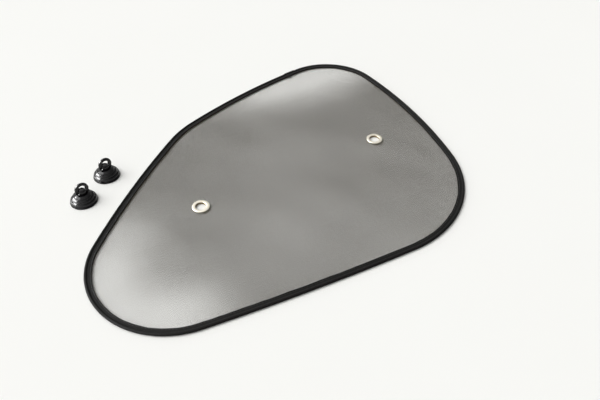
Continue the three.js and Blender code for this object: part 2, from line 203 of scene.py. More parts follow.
def swell(x, y):
    """Height of the cloth over the plane of the hoop."""
    depth, along = rim_place(x, y)
    rise = smooth((depth - TAPE_WIDTH - FLAT_BAND) / SWELL_RUN)
    still = 1.0
    for ex, ey in EYES.values():
        off = np.hypot(x - ex, y - ey)
        rise = rise * smooth((off - EYE_REST_R) / EYE_RUN)
        still = still * smooth((off - STILL_R) / STILL_RUN)
    wave = np.sin(2 * math.pi * (x + y) / WAVE_ALONG) * np.cos(2 * math.pi * (y - x / 2) / WAVE_ACROSS)
    pucker = 0.6 * np.sin(along / 3.1 + 1.4 * np.sin(along / 17)) + 0.4 * np.sin(along / 5.3 + 2)
    fade = smooth((depth - 6.5) / 7) * np.exp(-np.maximum(depth - 9, 0) / 11)
    ripple = np.sin(x / 9.5 + 0.8 * np.sin(y / 31)) * np.sin(y / 23 + 1.1 + 0.6 * np.sin(x / 37))
    return (
        SWELL_H * rise * (1 - WAVE_SHARE + WAVE_SHARE * wave)
        + PUCKER_H * pucker * fade * still
        + RIPPLE_H * ripple * smooth((depth - 12) / 40) * still
    )


front_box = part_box("front_eyelet")
SHIFT = (Vector(front_box[0]) + Vector(front_box[1])) / 2 / MM - Vector((*EYES["front"], 0))
SHIFT.z = 0


# Meshes


def new_object(name, verts, faces, material, angle=35):
    """A smooth-shaded mesh from points in millimetres in the row frame."""
    mesh = bpy.data.meshes.new(name)
    mesh.from_pydata((np.asarray(verts, float) * MM).tolist(), [], faces)
    mesh.validate()
    mesh.shade_smooth()
    mesh.set_sharp_from_angle(angle=math.radians(angle))
    obj = bpy.data.objects.new(name, mesh)
    bpy.context.scene.collection.objects.link(obj)
    obj.data.materials.append(material)
    return obj


def swept(rows, sections):
    """(points, faces) of a section swept along rim stations.

    sections holds one (n, 2) array of (inset, height) for each station.
    """
    sections = np.asarray(sections)
    inset, height = sections[:, :, 0], sections[:, :, 1]
    cx, cy, r, c, s, _ = (rows[:, i : i + 1] for i in range(6))
    x = cx + (r - inset) * c + SHIFT.x
    y = cy + (r - inset) * s + SHIFT.y
    points = np.stack([x, y, height + PLANE], axis=2)
    count, ring = inset.shape
    faces = []
    for i in range(count - 1):
        for j in range(ring):
            k = (j + 1) % ring
            faces.append((i * ring + j, i * ring + k, (i + 1) * ring + k, (i + 1) * ring + j))
    faces.append(tuple(range(ring - 1, -1, -1)))
    faces.append(tuple((count - 1) * ring + j for j in range(ring)))
    return points.reshape(-1, 3), faces


def turned(profile, sides, closed):
    """(points, faces) of a profile of (radius, height) turned about Z.

    A closed profile is a ring, and an open one starts and ends on the axis.
    """
    turns = np.linspace(0, 2 * math.pi, sides, endpoint=False)
    profile = np.asarray(profile, float)
    body = profile if closed else profile[1:-1]
    n = len(body)
    x = np.outer(body[:, 0], np.cos(turns))
    y = np.outer(body[:, 0], np.sin(turns))
    z = np.outer(body[:, 1], np.ones(sides))
    points = np.stack([x, y, z], axis=2).reshape(-1, 3)
    faces = []
    for i in range(n if closed else n - 1):
        a, b = i * sides, (i + 1) % n * sides
        for j in range(sides):
            k = (j + 1) % sides
            faces.append((a + j, a + k, b + k, b + j))
    if not closed:
        first, last = len(points), len(points) + 1
        points = np.vstack([points, [0, 0, profile[0, 1]], [0, 0, profile[-1, 1]]])
        for j in range(sides):
            k = (j + 1) % sides
            faces.append((first, k, j))
            faces.append((last, (n - 1) * sides + j, (n - 1) * sides + k))
    return points, faces


def face_outwards(obj):
    """Turns all the faces of a closed mesh to the outside."""
    bm = bmesh.new()
    bm.from_mesh(obj.data)
    bmesh.ops.recalc_face_normals(bm, faces=bm.faces)
    bm.to_mesh(obj.data)
    bm.free()


def uv_map(obj, values):
    """Keeps one (u, v) pair for each vertex, for patterns that follow the piece."""
    layer = obj.data.uv_layers.new(name="lay")
    loops = np.empty(len(obj.data.loops), dtype=np.int32)
    obj.data.loops.foreach_get("vertex_index", loops)
    layer.data.foreach_set("uv", np.asarray(values, np.float32)[loops].ravel())


def ride(obj, slot, *nodes):
    """Ties a piece to the part's one body, in the place of the CAD nodes that it replaces."""
    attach(obj, "root")
    if nodes:
        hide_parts(*nodes)
    return obj


# Materials


# Pitches of the tape's weave and of the thread's twist
WARP_PITCH, WEFT_PITCH = 0.5, 0.62
PLY_PITCH = 0.34
BORE_SHADE_R = 5.75  # painted shade: the eyelet's colour darkens from here inwards, over its bore


class Look:
    """A node material with a Principled shader and short ways to add nodes."""

    def __init__(self, name):
        self.material = bpy.data.materials.new(name)
        self.material.use_nodes = True
        self.tree = self.material.node_tree
        self.shader = self.tree.nodes["Principled BSDF"]

    def set(self, **values):
        for key, value in values.items():
            self.shader.inputs[key.replace("_", " ")].default_value = value

    def node(self, kind, inputs=None, **settings):
        n = self.tree.nodes.new(kind)
        for key, value in settings.items():
            setattr(n, key, value)
        for key, value in (inputs or {}).items():
            if isinstance(value, bpy.types.NodeSocket):
                self.tree.links.new(value, n.inputs[key])
            else:
                n.inputs[key].default_value = value
        return n

    def math(self, operation, a, b=0.0, c=0.0):
        n = self.node("ShaderNodeMath", operation=operation)
        for i, value in enumerate((a, b, c)):
            if isinstance(value, bpy.types.NodeSocket):
                self.tree.links.new(value, n.inputs[i])
            else:
                n.inputs[i].default_value = value
        return n.outputs[0]

    def place(self):
        return self.node("ShaderNodeTexCoord").outputs["Object"]

    def lay(self):
        uv = self.node("ShaderNodeUVMap", uv_map="lay").outputs[0]
        split = self.node("ShaderNodeSeparateXYZ", {"Vector": uv})
        return split.outputs[0], split.outputs[1]

    def noise(self, scale, detail=2.0, roughness=0.5, vector=None):
        inputs = {"Scale": scale, "Detail": detail, "Roughness": roughness}
        inputs["Vector"] = vector or self.place()
        return self.node("ShaderNodeTexNoise", inputs).outputs["Fac"]

    def ramp(self, fac, *stops):
        """stops are (position, colour), a colour as three numbers or one."""
        n = self.node("ShaderNodeValToRGB", {"Fac": fac})
        ramp = n.color_ramp
        while len(ramp.elements) < len(stops):
            ramp.elements.new(0.5)
        for element, (at, colour) in zip(ramp.elements, stops):
            element.position = at
            element.color = (*colour, 1) if hasattr(colour, "__len__") else (colour, colour, colour, 1)
        return n.outputs["Color"]

    def colour(self, socket):
        self.tree.links.new(socket, self.shader.inputs["Base Color"])

    def rough(self, socket):
        self.tree.links.new(socket, self.shader.inputs["Roughness"])

    def bump(self, height, distance, strength=1.0):
        """Distance in metres."""
        n = self.node("ShaderNodeBump", {"Height": height, "Distance": distance, "Strength": strength})
        self.tree.links.new(n.outputs["Normal"], self.shader.inputs["Normal"])


def yarn_look():
    look = Look("net_yarn")
    tone = look.noise(900, 3, 0.6)
    look.colour(look.ramp(tone, (0.3, (0.044, 0.034, 0.019)), (0.7, (0.084, 0.066, 0.038))))
    look.rough(look.ramp(look.noise(60, 2), (0.3, 0.6), (0.7, 0.75)))
    look.set(Sheen_Weight=0.05, Sheen_Roughness=0.4, Specular_IOR_Level=0.15)
    return look.material


def tape_look():
    look = Look("woven_tape")
    along, across = look.lay()
    warp = look.math("SINE", look.math("MULTIPLY", across, 2 * math.pi / WARP_PITCH))
    weft = look.math("SINE", look.math("MULTIPLY", along, 2 * math.pi / WEFT_PITCH))
    cross = look.math("MULTIPLY", warp, weft)
    ridge = look.math("MULTIPLY_ADD", warp, 0.35, cross)
    fuzz = look.noise(1600, 3, 0.7)
    patch = look.noise(35, 2)
    height = look.math("ADD", look.math("MULTIPLY", ridge, 0.4), fuzz)
    look.bump(height, 0.00012, 0.8)
    cloud = look.math("MULTIPLY_ADD", fuzz, 0.35, look.math("MULTIPLY", patch, 0.45))
    shade = look.math("MULTIPLY_ADD", ridge, 0.14, cloud)
    black, worn, lint = (0.0025, 0.0024, 0.0022), (0.006, 0.0056, 0.005), (0.018, 0.0162, 0.0138)
    look.colour(look.ramp(shade, (0.15, black), (0.5, worn), (0.8, lint)))
    look.rough(look.ramp(patch, (0.3, 0.62), (0.7, 0.78)))
    look.set(Sheen_Weight=0.03, Sheen_Roughness=0.45, Specular_IOR_Level=0.12)
    return look.material


def thread_look():
    look = Look("sewing_thread")
    along, across = look.lay()
    twist = look.math("MULTIPLY", along, 2 * math.pi / PLY_PITCH)
    ply = look.math("SINE", look.math("ADD", twist, look.math("MULTIPLY", across, 2 * math.pi)))
    look.bump(ply, 0.00003, 0.8)
    shade = look.math("MULTIPLY_ADD", ply, 0.12, look.noise(1200, 2))
    look.colour(look.ramp(shade, (0.3, (0.008, 0.0078, 0.0072)), (0.75, (0.034, 0.0315, 0.028))))
    look.set(Roughness=0.42, Sheen_Weight=0.2, Specular_IOR_Level=0.5)
    return look.material


def eyelet_look():
    look = Look("brass_plate")
    radius, turn = look.lay()
    stretched = {"X": look.math("MULTIPLY", radius, 9.0), "Y": look.math("MULTIPLY", turn, 0.9)}
    rings = look.node("ShaderNodeCombineXYZ", stretched)
    turning = look.noise(1.0, 3, 0.6, rings.outputs[0])
    wear = look.noise(420, 4, 0.6)
    dull, cream, bright = (0.76, 0.68, 0.50), (0.88, 0.83, 0.70), (0.92, 0.89, 0.80)
    face = look.ramp(wear, (0.3, dull), (0.45, cream), (0.75, bright))
    # Painted shade: the colour turns dark brown over the bore, inwards of about BORE_SHADE_R
    past_bore = look.math("MULTIPLY", look.math("SUBTRACT", radius, BORE_SHADE_R), 2.2)
    bore = look.math("SUBTRACT", 1.0, look.math("SMOOTH_MIN", past_bore, 1.0, 0.1))
    mix = look.node("ShaderNodeMix", data_type="RGBA", clamp_factor=True)
    look.tree.links.new(bore, mix.inputs["Factor"])
    look.tree.links.new(face, mix.inputs[6])
    mix.inputs[7].default_value = (0.20, 0.15, 0.08, 1)
    look.colour(mix.outputs[2])
    look.rough(look.ramp(turning, (0.25, 0.34), (0.75, 0.5)))
    look.bump(look.math("MULTIPLY_ADD", turning, 0.6, look.math("MULTIPLY", wear, 0.4)), 0.00004, 0.7)
    look.set(Metallic=0.55)
    return look.material


def cup_look():
    look = Look("cup_rubber")
    flow = look.noise(140, 3, 0.55)
    speck = look.noise(2600, 2, 0.6)
    look.colour(look.ramp(flow, (0.3, (0.0035, 0.0034, 0.0040)), (0.7, (0.0075, 0.0070, 0.0082))))
    gloss = look.math("MULTIPLY_ADD", speck, 0.35, look.math("MULTIPLY", flow, 0.65))
    look.rough(look.ramp(gloss, (0.3, 0.10), (0.7, 0.17)))
    look.bump(look.math("MULTIPLY_ADD", flow, 0.8, look.math("MULTIPLY", speck, 0.06)), 0.0003, 0.45)
    look.set(IOR=1.5, Specular_IOR_Level=0.36)
    return look.material


def clip_look():
    look = Look("clip_plastic")
    flow = look.noise(190, 3, 0.5)
    grain = look.noise(3200, 2, 0.6)
    look.colour(look.ramp(flow, (0.3, (0.0035, 0.0035, 0.0038)), (0.7, (0.0075, 0.0075, 0.0080))))
    gloss = look.math("MULTIPLY_ADD", grain, 0.4, look.math("MULTIPLY", flow, 0.6))
    look.rough(look.ramp(gloss, (0.3, 0.16), (0.7, 0.27)))
    look.bump(look.math("MULTIPLY_ADD", flow, 0.5, look.math("MULTIPLY", grain, 0.12)), 0.0002, 0.5)
    look.set(IOR=1.5, Specular_IOR_Level=0.32)
    return look.material


def steel_look(name, tint):
    look = Look(name)
    drawn = look.noise(700, 3, 0.6)
    look.colour(look.ramp(drawn, (0.3, tuple(0.6 * t for t in tint)), (0.7, tint)))
    look.rough(look.ramp(drawn, (0.3, 0.26), (0.7, 0.42)))
    look.bump(drawn, 0.00002, 0.6)
    look.set(Metallic=1.0)
    return look.material


# Cloth


def lit_spot(x, y, spot, spread):
    """How far thinner yarns paint light round a spot (x, y, stretch along X, stretch along Y, reach)."""
    at_x, at_y, wide, high, reach = spot
    return smooth(spread - np.hypot((x - at_x) / wide, (y - at_y) / high) / reach)


def yarn_width(x, y):
    """Width of the yarns, by place: thinner in the nose and along the top as painted light, wider in the
    middle as painted shade.
    """
    depth, _ = rim_place(x, y)
    nose = lit_spot(x, y, LIT_NOSE, 1.25) * (1 - 0.7 * smooth((depth - 22) / 60))
    top = lit_spot(x, y, LIT_TOP, 1.2) * (1 - 0.3 * smooth((depth - 24) / 40))
    lines = np.sin((x + 0.55 * y) / 13 + 1.7 * np.sin(y / 61)) * np.sin(y / 47 + x / 90)
    patch = 0.09 * np.sin(x / 41 + 1.3 * np.sin(y / 57)) * np.sin(y / 36 + 0.9) + 0.05 * lines
    # Painted light and shade: the more of this, the thinner the yarns and the paler the net
    lit_share = np.clip(np.maximum(nose, top) + patch + 0.06, 0, 1)
    return YARN_SHADED + (YARN_LIT - YARN_SHADED) * lit_share


def yarn_runs(fixed, along_x):
    """(start, end) of each stretch of one yarn inside the binding and clear of the eyelets' barrels."""
    limit = LENGTH / 2 + 15
    reach = np.arange(-limit, limit + 0.01, YARN_SAMPLE)
    still = np.full_like(reach, fixed)
    x, y = (reach, still) if along_x else (still, reach)
    depth, _ = rim_place(x, y)
    inside = np.nonzero(depth > YARN_INSET)[0]
    if len(inside) < SHORTEST_YARN:
        return []
    runs = [(reach[inside[0]], reach[inside[-1]])]
    barrel = EYE_HOLE_R + BARREL_CLEAR
    for ex, ey in EYES.values():
        off, at = (fixed - ey, ex) if along_x else (fixed - ex, ey)
        if abs(off) >= barrel:
            continue
        half = math.sqrt(barrel * barrel - off * off)
        cut = []
        for a, b in runs:
            if a < at - half and b > at + half:
                cut += [(a, at - half), (at + half, b)]
            else:
                cut.append((a, b))
        runs = cut
    return runs


def yarn_knots(a, b):
    """Places along a yarn: close near its ends, where the cloth puckers, and wider between."""
    length = b - a
    edge = min(KNOT_EDGE, length / 2.5)
    near = np.linspace(0, edge, max(2, round(edge / KNOT_NEAR) + 1))
    mid = np.linspace(edge, length - edge, max(2, round((length - 2 * edge) / KNOT_WIDE) + 1))
    return a + np.concatenate([near[:-1], mid, (length - near)[::-1][1:]])


def build_net(material):
    """Two crossing sets of fine yarns, each a three-sided tube that follows the cloth."""
    points, faces, count = [], [], 0
    for along_x, half in ((True, HEIGHT / 2), (False, LENGTH / 2)):
        lift = YARN_LAY if along_x else -YARN_LAY
        n = int(half / YARN_PITCH)
        for k in range(-n, n + 1):
            fixed = k * YARN_PITCH + 0.03 * math.sin(k * 1.7) + 0.02 * math.sin(k * 0.61)
            # Yarns differ a little in width
            spun = 1 + 0.03 * math.sin(k * 1.1) + 0.02 * math.sin(k * 0.37 + 2 * math.sin(k * 0.13))
            for a, b in yarn_runs(fixed, along_x):
                t = yarn_knots(a, b)
                drift = 0.05 * np.sin(t / 19 + k) * np.sin(t / 7.3 + 2.2 * k)
                x, y = (t, fixed + drift) if along_x else (fixed + drift, t)
                z = PLANE + swell(x, y) + lift
                wide = yarn_width(x, y) * spun
                ring = []
                for side, up in YARN_SECTION:
                    dx, dy = (0, side * wide) if along_x else (side * wide, 0)
                    corner = [x + dx + SHIFT.x, y + dy + SHIFT.y, z + up * YARN_RISE * wide]
                    ring.append(np.stack(corner, axis=1))
                points.append(np.stack(ring, axis=1).reshape(-1, 3))
                m = len(t)
                base = count + 3 * np.arange(m - 1)[:, None]
                for j in range(3):
                    q = (j + 1) % 3
                    quad = np.concatenate([base + j, base + q, base + 3 + q, base + 3 + j], axis=1)
                    faces.append(quad if along_x else quad[:, ::-1])
                count += 3 * m
    return new_object("mesh_net", np.vstack(points), np.vstack(faces).tolist(), material, 180)


# Binding


def bezier(a, b, c, d, n):
    t = np.linspace(0, 1, n)[:, None]
    a, b, c, d = (np.array(p, float) for p in (a, b, c, d))
    return a * (1 - t) ** 3 + 3 * b * t * (1 - t) ** 2 + 3 * c * t * t * (1 - t) + d * t**3


def fold_path(radius, leg, reach, steps=9):
    """Upper half of a folded skin, as (inset, height) from the leg's inner end over the bead."""
    blend = math.radians(40)
    start = (BEAD_R + radius * math.cos(blend), radius * math.sin(blend))
    flat = np.stack([np.linspace(reach, start[0] + 1.0, steps), np.full(steps, leg)], axis=1)
    fillet = bezier(
        (start[0] + 1.0, leg),
        (start[0] + 0.45, leg),
        (start[0] + 0.2 * math.sin(blend), start[1] - 0.2 * math.cos(blend)),
        start,
        5,
    )
    turn = np.linspace(blend, math.pi, 11)
    bead = np.stack([BEAD_R + radius * np.cos(turn), radius * np.sin(turn)], axis=1)
    return np.vstack([flat[:-1], fillet[:-1], bead])


def mirrored(path):
    """The lower half of a folded skin, from its upper half."""
    return np.stack([path[:, 0], -path[:, 1]], axis=1)[::-1]


def tape_ring():
    """The closed section of the tape: its outer skin, its two sewn edges and its inner skin."""
    outer = fold_path(BEAD_R, LEG_TOP, TAPE_WIDTH - 0.12)
    turns = np.linspace(math.radians(20), math.pi, 7)
    casing = [(BEAD_R + CASING_R * math.cos(t), CASING_R * math.sin(t)) for t in turns]
    inner = np.array([(TAPE_WIDTH - 0.12, LEG_LOW), (5.2, LEG_LOW), (3.3, LEG_LOW)] + casing)
    edge = np.array([(TAPE_WIDTH, LEG_LOW + 0.1), (TAPE_WIDTH, LEG_TOP - 0.1)])
    upper_in = np.vstack([inner[::-1], edge, outer])
    return np.vstack([upper_in, mirrored(upper_in)[1:-1]])


def edge_wander(s):
    """How far the tape's sewn edge strays at distance s."""
    return 0.10 * np.sin(s / 6.1 + 1.2 * np.sin(s / 29)) + 0.06 * np.sin(s / 2.3 + 0.7)


def dressed_section(ring, s):
    """The tape's section at distance s: sewn in along a line, with rippled legs and a wandering edge."""
    inset, height = ring[:, 0].copy(), ring[:, 1].copy()
    outside = np.abs(height) > LEG_LOW + 0.2
    hole = 0.5 + 0.5 * math.cos(2 * math.pi * s / STITCH_PITCH)
    groove = np.exp(-(((inset - STITCH_INSET) / GROOVE_WIDTH) ** 2)) * (0.09 + 0.1 * hole)
    swollen = 0.07 * math.sin(s / 4.3 + math.sin(s / 23)) * np.exp(-(((inset - 4.4) / 1.1) ** 2))
    height = height + np.sign(height) * outside * (swollen - groove)
    inset = inset + smooth((inset - 5.0) / 2.0) * edge_wander(s)
    return np.stack([inset, height], axis=1)


def tape_lay(rows, ring):
    """(distance along, distance across) of each point of a swept ring, for the weave."""
    girth = np.concatenate([[0], np.cumsum(np.linalg.norm(np.diff(ring, axis=0), axis=1))])
    return np.stack([np.repeat(rows[:, 5], len(ring)), np.tile(girth, len(rows))], axis=1)


def build_tape(material):
    """The tape, folded over the wire and the cloth's edge, with a butt joint."""
    ring = tape_ring()
    rows, _ = rim_stations(BEAD_R, TAPE_STATIONS, TAPE_BUTT)
    sections = [dressed_section(ring, s) for s in rows[:, 5]]
    points, faces = swept(rows, sections)
    obj = new_object("edge_binding", points, faces, material, 50)
    uv_map(obj, tape_lay(rows, ring))
    return obj


def build_lap(material):
    """The tape's tail, lapped over the joint, with a small corner that stands past the inner edge."""
    half = LAP_LENGTH / 2
    outer = fold_path(BEAD_R + LAP_CLEAR + LAP_T, LEG_TOP + LAP_CLEAR + LAP_T, TAPE_WIDTH + 0.3)
    inner = fold_path(BEAD_R + LAP_CLEAR, LEG_TOP + LAP_CLEAR, TAPE_WIDTH + 0.3)[::-1]
    ring = np.vstack([outer, inner])
    _, total = rim_stations(BEAD_R, 2)
    rows, _ = rim_stations(BEAD_R, LAP_STATIONS, 0, 1 - half / total, 1 + half / total)
    groove = 0.08 * np.exp(-(((ring[:, 0] - STITCH_INSET) / GROOVE_WIDTH) ** 2))
    sections = []
    for t in np.linspace(-half, half, LAP_STATIONS):
        nick = NICK_OUT * smooth((t - NICK_FROM) / NICK_RUN) - 0.25 * math.exp(-(((t + 5.5) / 2) ** 2))
        curl = 0.16 * smooth((abs(t) - half + 1.4) / 1.4)
        inset = ring[:, 0] + smooth((ring[:, 0] - 5.0) / 2.2) * nick
        height = ring[:, 1] - curl * smooth((ring[:, 0] - 0.2) / 2)
        sections.append(np.stack([inset, height - groove], axis=1))
    points, faces = swept(rows, sections)
    obj = new_object("binding_lap", points, faces, material, 50)
    uv_map(obj, tape_lay(rows, ring))
    face_outwards(obj)
    return obj


def stitch(a, b, up, radius=THREAD_R, rings=6, sides=6):
    """(points, faces, lay) of one stitch: a round thread from a to b."""
    a, b, up = Vector(a), Vector(b), Vector(up)
    axis = b - a
    length = axis.length
    axis.normalize()
    side = axis.cross(up).normalized()
    points, lay = [], []
    for i in range(rings + 1):
        t = i / rings
        bow = math.sin(math.pi * t)
        centre = a.lerp(b, t) + up * radius * (1.5 * bow**0.6 - 0.9)  # it dips in at both ends
        thick = radius * (0.55 + 0.45 * bow**0.5)
        for j in range(sides):
            turn = 2 * math.pi * j / sides
            across = side * (thick * math.cos(turn))
            points.append(centre + across + up * (thick * 0.85 * math.sin(turn)))
            lay.append((length * t, j / sides))
    faces = []
    for i in range(rings):
        for j in range(sides):
            k = (j + 1) % sides
            faces.append((i * sides + j, (i + 1) * sides + j, (i + 1) * sides + k, i * sides + k))
    faces.append(tuple(range(sides)))
    faces.append(tuple(rings * sides + j for j in range(sides - 1, -1, -1)))
    return [tuple(p) for p in points], faces, lay


def build_stitches(material):
    """The row of stitches along the binding, seen on both sides, and the tack over the lap."""
    _, total = rim_stations(STITCH_INSET, 2)
    count = round(total / STITCH_PITCH)
    pitch = total / count
    share = STITCH_LENGTH / 2 / total
    tack = (LAP_LENGTH / 2) / total
    step = pitch / total / 2
    seat = LEG_TOP - 0.1
    points, faces, lay = [], [], []

    def add(piece):
        base = len(points)
        points.extend(piece[0])
        faces.extend(tuple(base + i for i in f) for f in piece[1])
        lay.extend(piece[2])

    def place(row, inset, height):
        cx, cy, r, c, s, _ = row
        return cx + (r - inset) * c + SHIFT.x, cy + (r - inset) * s + SHIFT.y, PLANE + height

    for k in range(count):
        middle = (k + 0.5) / count
        ends, _ = rim_stations(STITCH_INSET, 2, 0, middle - share, middle + share)
        sway = 0.07 * math.sin(k * 1.9) + 0.05 * math.sin(k * 0.53)
        on_lap = middle < tack or middle > 1 - tack
        lift = seat + (LAP_CLEAR + LAP_T if on_lap else 0)
        a, b = (place(e, STITCH_INSET + sway + d, lift) for e, d in zip(ends, (-0.06, 0.06)))
        add(stitch(a, b, (0, 0, 1)))
        shifted, _ = rim_stations(STITCH_INSET, 2, 0, middle - share + step, middle + share + step)
        a, b = (place(e, STITCH_INSET + sway, -seat) for e in shifted)
        add(stitch(b, a, (0, 0, -1)))
    top = LEG_TOP + LAP_CLEAR + LAP_T - 0.02
    for line in (-5.6, -4.9, 5.6, 4.9):
        at = line / total
        for k in range(3):
            ends, _ = rim_stations(BEAD_R, 2, 0, at, at + 0.3 / total)
            inset = 4.1 + TACK_PITCH * k
            add(stitch(place(ends[0], inset, top), place(ends[1], inset + 0.5, top), (0, 0, 1), TACK_R))
    obj = new_object("binding_stitches", points, faces, material, 80)
    uv_map(obj, lay)
    return obj


# Eyelets


def rounded(profile, cut, steps=3):
    """A closed profile with each corner rounded off by up to cut."""
    profile = [Vector(p) for p in profile]
    out = []
    for i, p in enumerate(profile):
        before, after = profile[i - 1], profile[(i + 1) % len(profile)]
        reach = min(cut, (p - before).length * 0.45, (after - p).length * 0.45)
        a = p + (before - p).normalized() * reach
        b = p + (after - p).normalized() * reach
        for k in range(steps + 1):
            t = k / steps
            out.append(tuple(a * (1 - t) ** 2 + p * 2 * t * (1 - t) + b * t * t))
    return out


def build_eyelets(material):
    """Each eyelet's flange and barrel, and the washer that the barrel is crimped over behind the cloth."""
    cloth, clear, wall, washer_t = 0.2, 0.15, 0.45, 0.45
    under = cloth + clear
    curl = -under - washer_t - clear
    barrel = EYE_HOLE_R + wall
    curl_r = barrel + clear + 1.3
    flange = [
        (EYE_HOLE_R, curl - 0.3),
        (EYE_HOLE_R + 0.35, curl - 0.5),
        (curl_r - 0.25, curl - 0.5),
        (curl_r, curl - 0.25),
        (curl_r - 0.12, curl),
        (barrel, curl),
        (barrel, under),
        (9.35, under),
        (9.6, under + 0.2),
        (9.5, under + 0.48),
        (9.15, under + 0.68),
        (8.5, under + 0.79),
        (7.6, under + 0.85),
        (6.8, under + 0.82),
        (6.25, under + 0.7),
        (5.85, under + 0.42),
        (EYE_HOLE_R, under),
    ]
    ring = [
        (barrel + clear, -under),
        (barrel + clear, -under - washer_t),
        (8.6, -under - washer_t),
        (9.05, -under - washer_t * 0.75),
        (9.2, -under - washer_t * 0.4),
        (9.0, -under),
    ]
    made = []
    for name, (x, y) in EYES.items():
        for profile, part, cut in ((flange, "eyelet", 0.3), (ring, "eyelet_washer", 0.12)):
            shape = rounded(profile, cut)
            points, faces = turned(shape, 72, True)
            turns = np.arctan2(points[:, 1], points[:, 0])
            radius = np.hypot(points[:, 0], points[:, 1])
            low = points[:, 2] < curl + 0.02
            if part == "eyelet":  # the crimp behind isn't quite even
                radius = radius + low * smooth((radius - barrel) / 0.8) * 0.1 * np.sin(6 * turns + 0.5)
            lay = np.stack([radius, turns], axis=1)
            across = radius * np.cos(turns) + x + SHIFT.x
            up = radius * np.sin(turns) + y + SHIFT.y
            points = np.stack([across, up, points[:, 2] + PLANE], axis=1)
            obj = new_object(f"{name}_{part}_formed", points, faces, material, 50)
            face_outwards(obj)
            uv_map(obj, lay)
            made.append(ride(obj, "eyelet_metal", f"{name}_{part}"))
    return made


# Suction cups


CUP_R, CUP_LAND, EDGE_T, HOLLOW = 15, 1.4, 0.7, 3.4
BELL_H, SHOULDER_R, BELL_SWELL = 10.2, 5, 1.6
RIDGE_H, RIDGE_WIDTH = 0.45, 1.3
NECK_R, NECK_FOOT_R, KNOB_R, KNOB_H = 2.1, 3.0, 3.1, 1.6
BAR_LOW, BAR_TOP, SEAT_TOP = 11.6, 15.2, 13.1
KNOB_LOW = SEAT_TOP + 0.3
CLIP_R, CLIP_IN, CLIP_TOP, LOOP_Z = 7.45, 3.6, 24, 17.4
CLIP_HALF, CLIP_EDGE, LEG_END_R = 1.1, 0.4, 1.7
HOLE_CORNER_R = 0.7
RIDGES = 3
BOSS_R, BORE_R, SEAT_R = 4.4, 2.4, 3.4


def bell_point(f, out):
    """A point of the bell's outer skin, f from its rim to its shoulder, standing out by out."""
    fall = Vector((SHOULDER_R - CUP_R, BELL_H - EDGE_T))
    normal = Vector((fall.y, -fall.x)).normalized()
    lift = out + BELL_SWELL * math.sin(math.pi * f)
    return (CUP_R + fall.x * f + normal.x * lift, EDGE_T + fall.y * f + normal.y * lift)


def cup_profile():
    """The cup's section as (radius, height): its hollow, lip, ridged bell, neck and knob."""
    run = math.hypot(SHOULDER_R - CUP_R, BELL_H - EDGE_T)
    ridges = [k / 4.4 for k in range(1, RIDGES + 1)]
    land = CUP_R - CUP_LAND
    under = [(0, HOLLOW)] + [(land * t, HOLLOW * (1 - t**2.6)) for t in np.linspace(0.08, 0.97, 14)]
    lip = [(land, 0.0), (land + 0.5, 0.0), (CUP_R - 0.25, 0.0)]
    edge = [(CUP_R - 0.06, 0.12), (CUP_R, 0.32), (CUP_R - 0.03, 0.55)]
    bell = []
    for f in np.linspace(0.02, 0.93, 92):
        off = [abs(f - at) * run for at in ridges]
        out = sum(RIDGE_H * float(smooth(1.25 - d / (RIDGE_WIDTH / 2))) for d in off)
        bell.append(bell_point(f, out))
    neck = [
        (SHOULDER_R - 0.55, BELL_H + 0.02),
        (4.0, BELL_H + 0.12),
        (3.4, BELL_H + 0.3),
        (NECK_FOOT_R, BELL_H + 0.55),
        (2.5, BELL_H + 0.85),
        (NECK_R, BELL_H + 1.15),
        (NECK_R, BAR_LOW + 0.8),
        (NECK_R, KNOB_LOW - 0.08),
        (NECK_R + 0.2, KNOB_LOW),
    ]
    knob = [
        (KNOB_R - 0.3, KNOB_LOW + 0.06),
        (KNOB_R - 0.06, KNOB_LOW + 0.25),
        (KNOB_R, KNOB_LOW + 0.5),
        (KNOB_R - 0.04, KNOB_LOW + 0.85),
        (KNOB_R - 0.3, KNOB_LOW + 1.2),
        (KNOB_R * 0.7, KNOB_LOW + KNOB_H - 0.08),
        (KNOB_R * 0.4, KNOB_LOW + KNOB_H),
        (0, KNOB_LOW + KNOB_H),
    ]
    return under + lip + edge + bell + neck + knob


def leant(points, lean):
    """Points above the bell turned about its top towards +X, taking up the lean through the neck's foot."""
    angle = math.radians(lean) * smooth((points[:, 2] - BELL_H) / 0.9)
    x, z = points[:, 0], points[:, 2] - BELL_H
    leant_x = x * np.cos(angle) + z * np.sin(angle)
    leant_z = z * np.cos(angle) - x * np.sin(angle) + BELL_H
    return np.stack([leant_x, points[:, 1], leant_z], axis=1)


def arc(x, z, radius, start, end, count):
    """count points on an arc about (x, z), counterclockwise from angle start to angle end."""
    turns = np.linspace(start, end, count)
    return [(x + radius * math.cos(t), z + radius * math.sin(t)) for t in turns]


def clip_paths():
    """(outer path, hole path) of the loop clip, upright in X and Z, both counterclockwise."""
    end_x, end_z = CLIP_R - LEG_END_R, BAR_LOW - 0.8 + LEG_END_R
    outer = arc(0, CLIP_TOP - CLIP_R, CLIP_R, 0, math.pi, 48)
    for side in (-1, 1):
        outer += arc(side * end_x, end_z, LEG_END_R, math.pi, 2 * math.pi, 16)
    hole = arc(0, LOOP_Z, CLIP_IN, 0, math.pi, 34)
    corner_x, corner_z = CLIP_IN - HOLE_CORNER_R, BAR_TOP + HOLE_CORNER_R
    for side, turn in ((-1, math.pi), (1, 1.5 * math.pi)):
        hole += arc(side * corner_x, corner_z, HOLE_CORNER_R, turn, turn + math.pi / 2, 6)
    return outer, hole


def inset_path(path, reach):
    """A closed counterclockwise path moved inwards by reach along its corners' bisectors."""
    points = np.asarray(path, float)
    before, after = points - np.roll(points, 1, axis=0), np.roll(points, -1, axis=0) - points
    before /= np.linalg.norm(before, axis=1)[:, None]
    after /= np.linalg.norm(after, axis=1)[:, None]
    bisector = np.stack([-(before[:, 1] + after[:, 1]), before[:, 0] + after[:, 0]], axis=1)
    scale = 1 + (before * after).sum(axis=1)
    return points + reach * bisector / np.maximum(scale, 0.5)[:, None]


